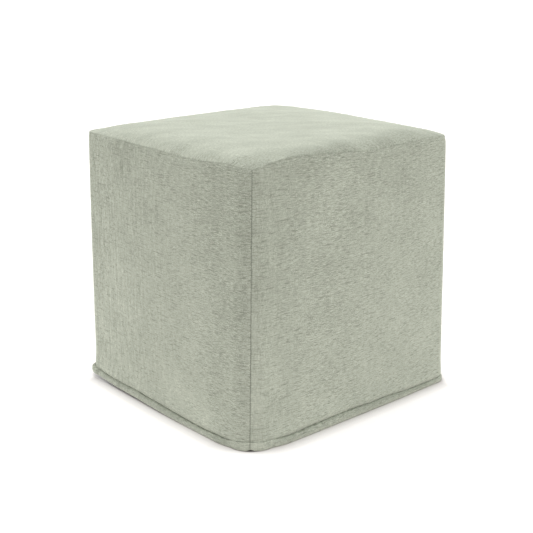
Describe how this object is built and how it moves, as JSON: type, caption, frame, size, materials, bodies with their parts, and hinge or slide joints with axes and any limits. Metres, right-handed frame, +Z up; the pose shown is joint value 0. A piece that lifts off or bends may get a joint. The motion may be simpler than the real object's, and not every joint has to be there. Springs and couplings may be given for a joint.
{
  "type": "cube pouf stool with fitted cloth cover",
  "caption": "Soft cube stool: a filled block under a sewn cloth cover with a crowned seat panel, plain side panels and a turned hem along the floor.",
  "frame": {"origin": "on the floor, under the middle of the whole stool's box", "axes": "+Z up, +X along the front panel, -Y out of the front panel, +X out of the right panel"},
  "size_m": [0.4522, 0.4706, 0.4504],
  "materials": {
    "casing": "matte black casing cloth of the filled block, seen only under the hem",
    "seat_cloth": "soft woven melange in pale sage green with a short brushed nap",
    "side_cloth": "soft woven melange in sage green, its slubs running level, with a short nap"
  },
  "bodies": {
    "root": {"filled_block": "casing", "seat_panel": "seat_cloth", "front_panel": "side_cloth", "right_panel": "side_cloth", "back_panel": "side_cloth", "left_panel": "side_cloth"}
  },
  "joints": []
}
